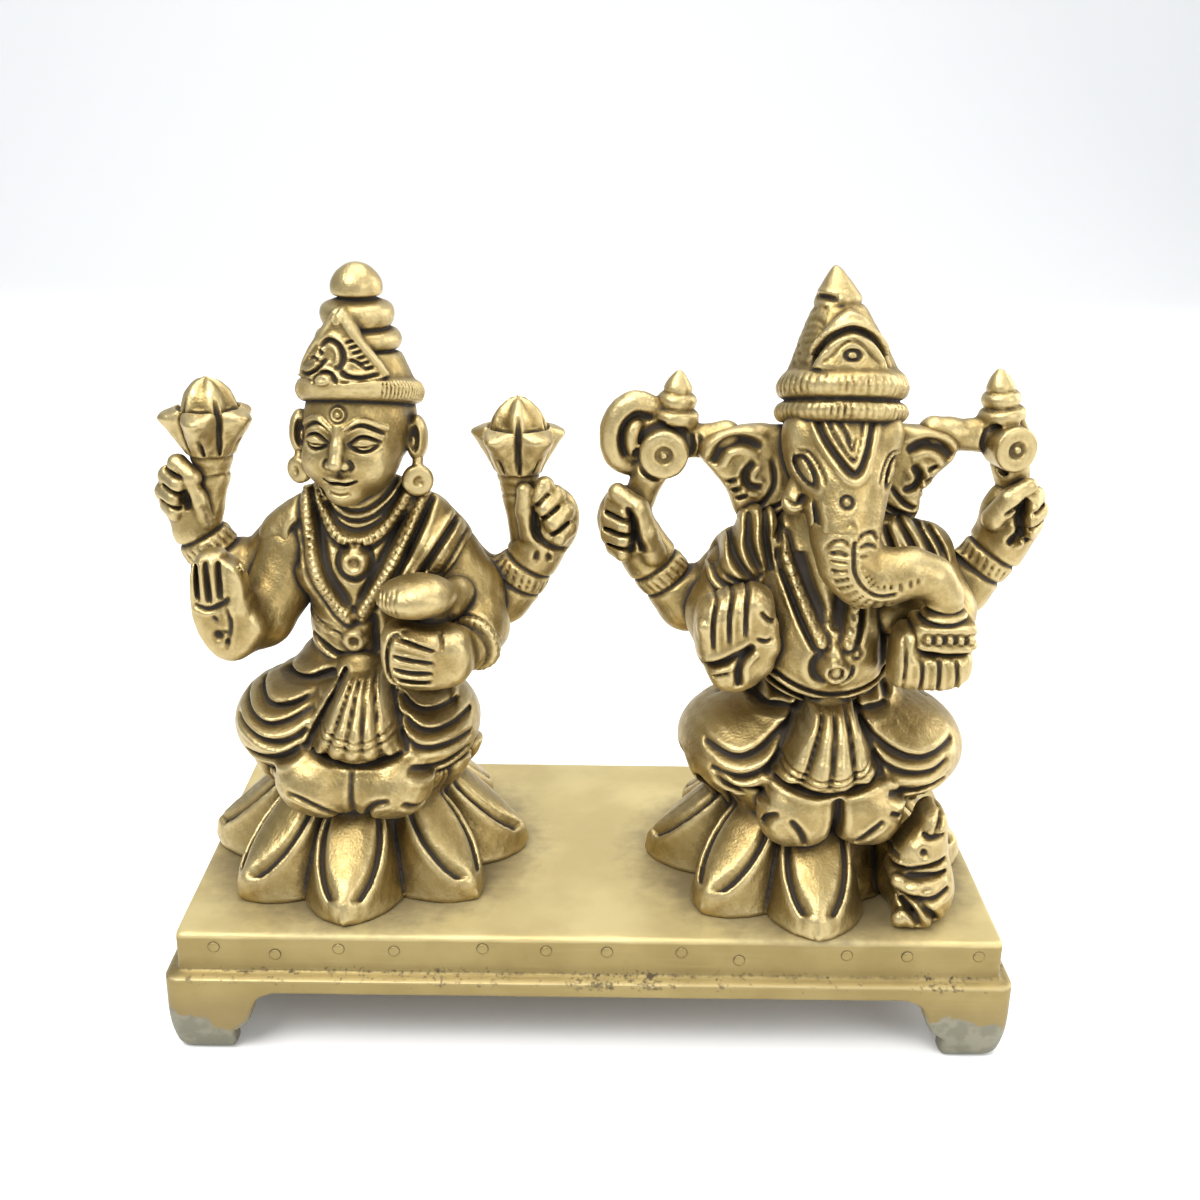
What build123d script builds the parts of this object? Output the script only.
from build123d import *
import os

# A pair of cast brass idols, Lakshmi and Ganesha, each on its own lotus seat, held by one screw each
# on a low stand with four bracket feet. Millimetres, +Z up, +X to the viewer's right, front towards -Y.
# The origin is the centre of the stand's footprint, on the surface that it rests on.
# Right and left are the figures' own, so a figure's right arm is on the viewer's left.

# Stand: a hollow casting with a slab, a bevelled ledge, a skirt and four bracket feet.
SLAB_LENGTH, SLAB_DEPTH = 150.0, 70.0
STAND_HEIGHT = 24.0
SLAB_HEIGHT = 7.2
LEDGE = 2.2                      # how far the skirt stands out past the slab
BEVEL_HEIGHT = 1.2
SKIRT_HEIGHT = 3.0
TOP_WALL, SIDE_WALL = 3.0, 3.4
FOOT_TAPER = 2.4                 # how far a foot draws in towards its sole
BRACKET_FRONT, BRACKET_SIDE = 17.5, 15.0
FOOT_SOLE = 10.5
STUD_RADIUS, STUD_RISE = 1.05, 0.5
STUD_SPOTS = (-68, -57, -45.5, -35.5, -19.5, -8, 3, 16.5, 27, 46.5, 57.5, 70.5)
STUD_SHIFTS = (0.9, -0.5, 0.8, 0.5, 1.2, 0.9, 0.8, 0.9, -0.6, 0.7, 0.6, 0.8)

# Fixings: one screw and washer under each figure.
SCREW_RADIUS, SCREW_LENGTH = 2.5, 14.0
SCREW_HEAD_RADIUS, SCREW_HEAD_HEIGHT = 4.7, 3.2
SCREW_SLOT_WIDTH, SCREW_SLOT_DEPTH = 1.2, 1.4
WASHER_RADIUS, WASHER_THICKNESS = 5.5, 1.0
CLEARANCE_HOLE_RADIUS = 2.75
TAPPED_HOLE_RADIUS, TAPPED_HOLE_DEPTH = 2.53, 12.5

# Lotus seats.
PETAL_COUNT = 8
PETAL_ROOT, PETAL_TIP = 12.0, 31.0
PETAL_HALF_WIDTH = 8.4
PETAL_ROOT_HEIGHT, PETAL_TIP_HEIGHT = 15.0, 4.4
CUP_WAIST_RADIUS, CUP_TOP_RADIUS, CUP_HEIGHT = 15.5, 20.5, 22.0

# Where each figure's seat centre stands on the slab, and how far each head is turned.
LAKSHMI_PLACE = (-44.0, -1.0, STAND_HEIGHT)
GANESHA_PLACE = (42.0, -4.0, STAND_HEIGHT)
LAKSHMI_HEAD_TURN = -12.0
GANESHA_HEAD_TURN = 12.0

JOINT_SWELL = 1.02               # a ball joint is this much fatter than the limbs that meet in it
BASE_ALIGN = (Align.CENTER, Align.CENTER, Align.MIN)


# ---------------------------------------------------------------- shapes

def ball(centre, radii, turn=(0, 0, 0)):
    """An ellipsoid with these half-lengths, turned about X, Y and Z, then put at its centre."""
    return Pos(*centre) * Rot(*turn) * scale(Sphere(1), by=radii)


def limb(*stations):
    """A bent round limb through stations (x, y, z, radius): a ball at each, and a cone between two."""
    made = Part()
    for (*point, radius) in stations:
        made += Pos(*point) * Sphere(radius * JOINT_SWELL)
    for (*start, thick), (*end, thin) in zip(stations, stations[1:]):
        axis = Vector(*end) - Vector(*start)
        plane = Plane(origin=start, z_dir=axis)
        same = abs(thick - thin) < 0.01
        stick = (Cylinder(thick, axis.length, align=BASE_ALIGN) if same
                 else Cone(thick, thin, axis.length, align=BASE_ALIGN))
        made += plane * stick
    return made


def turned(profile, centre=(0, 0)):
    """A shape turned on a lathe: profile is (radius, height) pairs, closed along its axis."""
    low, high = profile[0][1], profile[-1][1]
    outline = Polyline((0, low), *profile, (0, high), close=True)
    face = Plane.XZ * make_face(outline)
    return Pos(centre[0], centre[1], 0) * revolve(face, Axis.Z)


def plate(points, thickness, middle):
    """A flat plate with a straight-sided outline (x, z), centred on y = middle."""
    face = Plane.XZ * make_face(Polyline(*points, close=True))
    return Pos(0, middle + thickness / 2, 0) * extrude(face, thickness)


def fit_beside(new, neighbours):
    """Cuts away what the neighbours already fill, so that the pieces meet face to face, without crumbs."""
    for other in neighbours:
        boxes = new.bounding_box(), other.bounding_box()
        apart = any(
            low > high
            for one, two in (boxes, boxes[::-1])
            for low, high in zip(tuple(one.min), tuple(two.max))
        )
        if not apart:
            new = new - other
    return max(new.solids(), key=lambda s: s.volume)


# ---------------------------------------------------------------- stand and fixings

def bracket_window(half_length, bracket, depth):
    """The opening between two feet, seen along Y: an ogee bracket on each side of a flat arch."""
    top = STAND_HEIGHT - SLAB_HEIGHT - BEVEL_HEIGHT - SKIRT_HEIGHT
    start = half_length - bracket
    step = half_length - FOOT_SOLE - 2.6
    sole = half_length - FOOT_SOLE
    knee, heel = 0.66 * top, 0.42 * top
    edge = []
    for side in (1, -1):
        bow = (side * (start + 0.30 * (step - start)), knee + 0.30 * (top - knee))
        edge += [
            ThreePointArc((side * start, top), bow, (side * step, knee)),
            Line((side * step, knee), (side * (step + 0.3), heel)),
            Line((side * (step + 0.3), heel), (side * sole, -1)),
        ]
    edge += [Line((-start, top), (start, top)), Line((-sole, -1), (sole, -1))]
    face = Plane.XZ * make_face(edge)
    return Pos(0, depth / 2, 0) * extrude(face, depth)


def stand():
    """The stand casting, with its hollow underside and the row of small raised studs on the front."""
    length, depth = SLAB_LENGTH + 2 * LEDGE, SLAB_DEPTH + 2 * LEDGE
    ledge_z = STAND_HEIGHT - SLAB_HEIGHT
    skirt_z = ledge_z - BEVEL_HEIGHT
    foot_z = skirt_z - SKIRT_HEIGHT
    slab = Pos(0, 0, ledge_z) * Box(SLAB_LENGTH, SLAB_DEPTH, SLAB_HEIGHT, align=BASE_ALIGN)
    bevel = loft([
        Pos(0, 0, skirt_z) * Rectangle(length, depth),
        Pos(0, 0, ledge_z) * Rectangle(SLAB_LENGTH, SLAB_DEPTH),
    ])
    skirt = Pos(0, 0, 0.7 * foot_z) * Box(length, depth, skirt_z - 0.7 * foot_z, align=BASE_ALIGN)
    feet = loft([
        Rectangle(length - 2 * FOOT_TAPER, depth - 2 * FOOT_TAPER),
        Pos(0, 0, 0.7 * foot_z) * Rectangle(length, depth),
    ])
    casting = slab + bevel + skirt + feet
    wall = SIDE_WALL + FOOT_TAPER
    casting -= Box(length - 2 * wall, depth - 2 * wall, STAND_HEIGHT - TOP_WALL, align=BASE_ALIGN)
    casting -= bracket_window(length / 2, BRACKET_FRONT, 2 * depth)
    casting -= Rot(0, 0, 90) * bracket_window(depth / 2, BRACKET_SIDE, 2 * length)
    for place in (LAKSHMI_PLACE, GANESHA_PLACE):
        casting -= Pos(place[0], place[1], STAND_HEIGHT) * Cylinder(CLEARANCE_HOLE_RADIUS, 3 * TOP_WALL)
    for along, shift in zip(STUD_SPOTS, STUD_SHIFTS):
        spot = Plane(
            origin=(along, -SLAB_DEPTH / 2, STAND_HEIGHT - SLAB_HEIGHT / 2 + shift), z_dir=(0, -1, 0)
        )
        casting += spot * Cone(STUD_RADIUS, 0.75 * STUD_RADIUS, STUD_RISE, align=BASE_ALIGN)
    return casting


def screw(place):
    """A slotted pan-head screw, from under the stand's top wall up into the seat."""
    under = STAND_HEIGHT - TOP_WALL - WASHER_THICKNESS
    head = Pos(0, 0, under - SCREW_HEAD_HEIGHT) * Cylinder(
        SCREW_HEAD_RADIUS, SCREW_HEAD_HEIGHT, align=BASE_ALIGN)
    head = fillet(head.edges().sort_by(Axis.Z)[0], 1.0)
    slot = Pos(0, 0, under - SCREW_HEAD_HEIGHT) * Box(
        3 * SCREW_HEAD_RADIUS, SCREW_SLOT_WIDTH, 2 * SCREW_SLOT_DEPTH)
    shank = Pos(0, 0, under) * Cylinder(SCREW_RADIUS, SCREW_LENGTH, align=BASE_ALIGN)
    return Pos(place[0], place[1], 0) * (head - slot + shank)


def washer(place):
    """A plain washer between the screw head and the stand's top wall."""
    ring = Cylinder(WASHER_RADIUS, WASHER_THICKNESS, align=BASE_ALIGN)
    ring -= Cylinder(CLEARANCE_HOLE_RADIUS, 3 * WASHER_THICKNESS)
    return Pos(place[0], place[1], STAND_HEIGHT - TOP_WALL - WASHER_THICKNESS) * ring


# ---------------------------------------------------------------- lotus seat, shared by both figures

def petal():
    """One petal along +X: a leaf-shaped plan, as high as a slope from its root down to its blunt tip."""
    waist = 0.5 * (PETAL_ROOT + PETAL_TIP) + 1.0
    plan = [
        ThreePointArc((PETAL_ROOT, side * 0.8 * PETAL_HALF_WIDTH), (waist, side * PETAL_HALF_WIDTH),
                      (PETAL_TIP, side * 0.9))
        for side in (1, -1)
    ]
    plan += [
        Line((PETAL_ROOT, -0.8 * PETAL_HALF_WIDTH), (PETAL_ROOT, 0.8 * PETAL_HALF_WIDTH)),
        Line((PETAL_TIP, -0.9), (PETAL_TIP, 0.9)),
    ]
    leaf = extrude(make_face(plan), PETAL_ROOT_HEIGHT)
    slope = plate(
        [(PETAL_ROOT - 1, -1), (PETAL_TIP + 1, -1), (PETAL_TIP + 1, PETAL_TIP_HEIGHT - 0.4),
         (PETAL_ROOT - 1, PETAL_ROOT_HEIGHT)],
        4 * PETAL_HALF_WIDTH, 0.0)
    return leaf & slope


def lotus_seat(left_out=()):
    """A waisted cup inside a ring of big petals, with a tapped hole in its underside."""
    rim = CUP_HEIGHT - 3
    seat = turned([(17, 0), (CUP_WAIST_RADIUS, 10), (CUP_TOP_RADIUS, rim), (CUP_TOP_RADIUS, CUP_HEIGHT)])
    for step in range(PETAL_COUNT):
        if step not in left_out:
            seat += Rot(0, 0, step * 360 / PETAL_COUNT) * petal()
    return seat - Cylinder(TAPPED_HOLE_RADIUS, TAPPED_HOLE_DEPTH, align=BASE_ALIGN)


# ---------------------------------------------------------------- Lakshmi, seat centre at the origin

def lakshmi_lap():
    """Crossed legs under the cloth, with the two rounded folds that hang in front of the seat."""
    lap = ball((-11.5, -3, 31), (12.2, 17, 10))
    lap += ball((11, -3, 31), (12, 17, 10))
    lap += ball((0, -4, 33.5), (14, 18, 9))
    lap += ball((-7, -18.5, 22), (8, 6.5, 7.6))
    lap += ball((8, -18.5, 22), (8, 6.5, 7.6))
    return lap


def lakshmi_torso():
    """Waist, chest, shoulders and neck."""
    torso = ball((0.5, 0, 46), (10.3, 8.5, 10))
    torso += ball((0.8, 1, 58), (13.5, 9.5, 10.5))
    torso += limb((-12, 3, 63, 5.4), (15, 3, 61, 5.4))
    torso += limb((0.5, 2, 64, 5.8), (0.5, 1, 74, 5.2))
    return torso


def lakshmi_head():
    """Head with hair behind and an ear on each side."""
    head = ball((0.3, -2, 84), (9.2, 9.6, 11.8), (0, 0, LAKSHMI_HEAD_TURN))
    head += ball((0.8, 4, 85), (9.8, 8, 9))
    head += ball((-9.6, 0, 85), (1.8, 3, 4.4))
    head += ball((10.8, 1, 84), (1.8, 3, 4.4))
    return head


def lakshmi_crown():
    """Tiered crown: rim band, drum, two rings and a bud, with a pointed plate in front."""
    tiers = turned(
        [(10.8, 90), (11.3, 92), (10.9, 94), (9.6, 94.5), (8.8, 99.3), (8.8, 103), (6.6, 104), (6.6, 108),
         (3.4, 108.4), (4.4, 110), (3.6, 112), (1.6, 114.2), (0.4, 114.6)],
        (1.1, -0.5))
    shield = plate([(-8.5, 91), (8.5, 91), (1.5, 107.3), (-1.5, 107.3)], 6, -7.5)
    return tiers + Rot(0, 0, LAKSHMI_HEAD_TURN) * shield


def lakshmi_rear_right_arm():
    """Raised arm on the viewer's left, with its fist."""
    upper = (-15, 5, 63, 5.2), (-23, 5, 54, 5.2)
    fist = (-32.5, 3, 70, 5.0), (-34, 3, 74, 4.6)
    return limb(*upper, (-29.5, 3.5, 62, 4.3), *fist)


def lakshmi_rear_left_arm():
    """Raised arm on the viewer's right, with its fist."""
    upper = (17, 5, 60, 5.2), (24.5, 5, 50.5, 5.2)
    fist = (35, 4.5, 66, 5.0), (36, 4.5, 71, 4.6)
    return limb(*upper, (30.5, 4.5, 57.5, 4.4), *fist)


def lotus_flower(foot, middle):
    """A held lotus: a tapering stem from foot, then a cup that opens to a ring of petals round a dome."""
    stem = limb((*foot, 2.4), (middle[0], middle[1], middle[2] - 7, 3.6))
    head = turned([(3.6, -7), (6.6, -1.5), (8.8, 2), (7.4, 2.6), (5.2, 5), (2.8, 6.8), (0.6, 7.4)])
    return stem + Pos(*middle) * head


def lakshmi_front_right_arm():
    """Lowered arm on the viewer's left, palm forward in blessing."""
    arm = limb((-14, 0, 61, 5.2), (-18.5, -2.5, 48.5, 5.2), (-22.5, -9.5, 49, 4.6))
    return arm + ball((-23.6, -11.5, 55.5), (5.7, 3.6, 10.2))


def lakshmi_front_left_arm():
    """Lowered arm on the viewer's right, its hand laid across the lap."""
    arm = limb((17, 0, 59, 5.2), (24, -4, 47, 5.2), (20, -14, 46.5, 4.8))
    return arm + ball((12.5, -17, 46.5), (8, 4.6, 5.8))


def lakshmi_vessel():
    """Small full vessel above the left hand."""
    body = ball((13.3, -15.5, 58), (7.4, 5.6, 4.2), (0, -8, 0))
    return body + limb((13.5, -14.5, 49, 3.6), (13.3, -15, 56, 4.4))


def lakshmi_earrings():
    """A round drop on a short hook below each ear."""
    right = limb((-9.8, -1.5, 82, 1.2), (-9.9, -3, 77.9, 2.2))
    left = limb((11, 0, 81, 1.2), (11, -1.5, 76, 2.6))
    return [right, left]


# ---------------------------------------------------------------- Ganesha, seat centre at the origin

def ganesha_lap():
    """Crossed legs under the cloth, wider than Lakshmi's, with the rounded folds in front."""
    lap = ball((-11, -3, 27), (14, 18, 11))
    lap += ball((14, -3, 27), (13.5, 18, 11))
    lap += ball((1.2, -4, 29), (15, 19, 9))
    lap += ball((-5.5, -20, 20.5), (7.6, 6.5, 7))
    lap += ball((6.5, -20, 20.5), (7.6, 6.5, 7))
    return lap


def ganesha_torso():
    """Round belly, chest and shoulders."""
    torso = ball((0, -4.5, 48.5), (13.8, 13.5, 12.5))
    torso += ball((1, 1, 59), (16.5, 10.5, 12))
    torso += limb((-15, 3, 60, 6.2), (18.5, 3, 62, 6.2))
    torso += limb((1, 1, 62, 8), (1, 0, 74, 8))
    return torso


def ganesha_head():
    """Elephant head: a domed skull that narrows towards the trunk."""
    head = ball((1.3, -2.5, 84.5), (10.4, 10.4, 9.6))
    head += limb((1.2, -7, 82.5, 8.6), (1.6, -12, 74, 6.6))
    return head


def ganesha_trunk():
    """Trunk: down in front, then round to the figure's left and down into the sweets."""
    return limb((1.6, -14, 74, 6.0), (1.4, -17, 68.5, 5.7), (3.2, -18.5, 64.8, 5.2), (6.8, -19, 63, 4.8),
                (11, -19, 64, 4.5), (15, -19, 65, 4.1), (17.8, -19, 63.4, 3.8), (18.2, -19, 59.8, 3.4))


def ganesha_ear(side):
    """One fan-shaped ear with its thick rim; side is -1 on the viewer's left."""
    corners = (8, 88.5), (15.5, 88.5), (23, 84.5), (18, 77), (15.5, 69), (8, 71)
    outline = [(side * x, z) for x, z in corners]
    return Pos(1.3, 0, 0) * plate(outline, 4.6, 3.5)


def ganesha_crown():
    """Crown: two ribbed bands, a cone that leans a little and a pointed bud, with an arched plate."""
    bands = turned(
        [(11.2, 91.5), (12, 93.7), (11.2, 95.9), (10.6, 96.1), (11.4, 98.5), (10.8, 101), (9.6, 101.2)])
    cone = turned([(9.6, 0), (4.3, 10), (3.4, 10.4), (4.0, 11.2), (2.4, 13.6), (0.8, 15.6), (0.3, 15.8)])
    crown = Pos(1.3, -1, 0) * (bands + Pos(0, 0, 100) * Rot(0, -7, 0) * cone)
    side = (7.4, 100.2), (6.4, 104.5), (3.6, 108.2)
    arch = [*side, (0, 109.6), *((-x, z) for x, z in side[::-1])]
    return crown + Pos(0.6, 0, 0) * Rot(0, 0, GANESHA_HEAD_TURN) * plate(arch, 6, -7.5)


def ganesha_rear_right_arm():
    """Raised arm on the viewer's left, with its fist."""
    upper = (-17, 5, 60, 5.6), (-24, 5.5, 48.5, 5.0)
    fist = (-35.5, 5, 66, 5.6), (-36.5, 5, 71, 5.2)
    return limb(*upper, (-30.5, 5, 57.5, 4.4), *fist)


def ganesha_rear_left_arm():
    """Raised arm on the viewer's right, with its fist."""
    upper = (20, 5, 62, 5.6), (27, 5.5, 51, 5.0)
    fist = (36.6, 5.5, 69.5, 5.4), (37.5, 5.5, 73.5, 5.0)
    return limb(*upper, (33, 5.5, 61, 4.4), *fist)


def finial_disc(middle, tilt):
    """A knobbed disc that faces forwards, on a turned body with a stepped cone on top."""
    disc = Plane(origin=(middle[0], middle[1] - 3.6, middle[2]), z_dir=(0, 1, 0)) * Cylinder(
        4.9, 7.2, align=BASE_ALIGN)
    cone = turned([(4.6, 4), (4.0, 6.2), (4.1, 7), (3.6, 9.4), (2.6, 10), (1.9, 12), (0.5, 13.7)])
    return disc + Pos(*middle) * Rot(0, tilt, 0) * cone


def ganesha_axe():
    """Held axe: a shaft from the fist, a knobbed disc, and the crescent blade outside it."""
    axe = limb((-34, 5, 75, 3.4), (-31, 5, 81, 4.2))
    axe += finial_disc((-30.1, 4.6, 81.9), 12)
    blade = Plane(origin=(-34.4, 3.2, 83.8), z_dir=(0, 1, 0)) * Cylinder(7.6, 4.4, align=BASE_ALIGN)
    axe += blade
    return axe + limb((-26, 5, 83, 2.6), (-21, 5, 84.2, 2.4))


def ganesha_noose():
    """Held noose emblem: a shaft from the fist and a knobbed disc, tied to the ear by a short bridge."""
    noose = limb((36.5, 5.5, 77, 3.2), (34.5, 5.5, 82, 4.0))
    noose += finial_disc((33.7, 5, 83.8), -14)
    return noose + limb((31, 5, 86, 2.5), (24, 5, 85.2, 2.3))


def ganesha_front_right_arm():
    """Lowered arm on the viewer's left, palm forward in blessing."""
    arm = limb((-16, 0, 58, 5.6), (-19.5, -4, 48, 5.2), (-18, -10.5, 47.5, 5.0))
    return arm + ball((-17, -13, 51.5), (7.2, 4.4, 9))


def ganesha_front_left_arm():
    """Lowered arm on the viewer's right, its fingers closed round the bowl."""
    arm = limb((20.5, 0, 60, 5.4), (24, -5, 50.5, 5.0), (21, -12, 49, 5.0))
    return arm + ball((17.6, -16, 48.5), (7, 5.4, 5.6))


def ganesha_sweets():
    """Bowl of sweets between the hand and the trunk's tip."""
    return turned([(4.6, 52.5), (5.2, 55), (5.0, 57.5), (3.0, 58.8)], (18, -17.5))


def ganesha_mouse():
    """The mouse, upright beside the seat, where the eighth petal would be."""
    mouse = ball((18.5, -18.5, 6.5), (5.4, 6, 7))
    mouse += ball((18, -18.5, 13), (4.6, 5, 6))
    mouse += limb((18.5, -18, 18, 4.2), (14.5, -21, 16.5, 2.6))
    mouse += limb((21, -16, 19.5, 2.2), (21.5, -15, 21, 1.8))
    return mouse & (Pos(18, -18, 0) * Box(40, 40, 40, align=BASE_ALIGN))


# ---------------------------------------------------------------- assembly

def write(name, solids):
    """Writes one node's STEP file: a single solid, or a group of separate ones."""
    shape = solids[0] if len(solids) == 1 else Compound(children=solids)
    export_step(shape, f"parts/{name}.step")


def place_figure(pieces, place):
    """Fits each piece beside those before it, puts the figure on the stand and writes its nodes."""
    done = []
    for name, shape in pieces:
        fitted = [fit_beside(one, done) for one in (shape if isinstance(shape, list) else [shape])]
        done += fitted
        write(name, [Pos(*place) * one for one in fitted])


os.makedirs("parts", exist_ok=True)

write("stand", [stand()])
places = (LAKSHMI_PLACE, GANESHA_PLACE)
write("figure_screws", [screw(place) for place in places])
write("screw_washers", [washer(place) for place in places])

place_figure([
    ("lakshmi_lotus_seat", lotus_seat()),
    ("lakshmi_lap", lakshmi_lap()),
    ("lakshmi_torso", lakshmi_torso()),
    ("lakshmi_head", lakshmi_head()),
    ("lakshmi_crown", lakshmi_crown()),
    ("lakshmi_front_right_arm", lakshmi_front_right_arm()),
    ("lakshmi_front_left_arm", lakshmi_front_left_arm()),
    ("lakshmi_rear_right_arm", lakshmi_rear_right_arm()),
    ("lakshmi_rear_left_arm", lakshmi_rear_left_arm()),
    ("lakshmi_right_lotus", lotus_flower((-28, 3.5, 68), (-27.3, 3, 87))),
    ("lakshmi_left_lotus", lotus_flower((30, 4.5, 63), (29.3, 4.5, 84))),
    ("lakshmi_vessel", lakshmi_vessel()),
    ("lakshmi_earrings", lakshmi_earrings()),
], LAKSHMI_PLACE)

MOUSE_PETAL = 7                  # the petal at -45 degrees makes way for the mouse
place_figure([
    ("ganesha_lotus_seat", lotus_seat(left_out=(MOUSE_PETAL,))),
    ("ganesha_lap", ganesha_lap()),
    ("ganesha_torso", ganesha_torso()),
    ("ganesha_head", ganesha_head()),
    ("ganesha_crown", ganesha_crown()),
    ("ganesha_trunk", ganesha_trunk()),
    ("ganesha_right_ear", ganesha_ear(-1)),
    ("ganesha_left_ear", ganesha_ear(1)),
    ("ganesha_front_right_arm", ganesha_front_right_arm()),
    ("ganesha_front_left_arm", ganesha_front_left_arm()),
    ("ganesha_sweets", ganesha_sweets()),
    ("ganesha_rear_right_arm", ganesha_rear_right_arm()),
    ("ganesha_rear_left_arm", ganesha_rear_left_arm()),
    ("ganesha_axe", ganesha_axe()),
    ("ganesha_noose", ganesha_noose()),
    ("ganesha_mouse", ganesha_mouse()),
], GANESHA_PLACE)
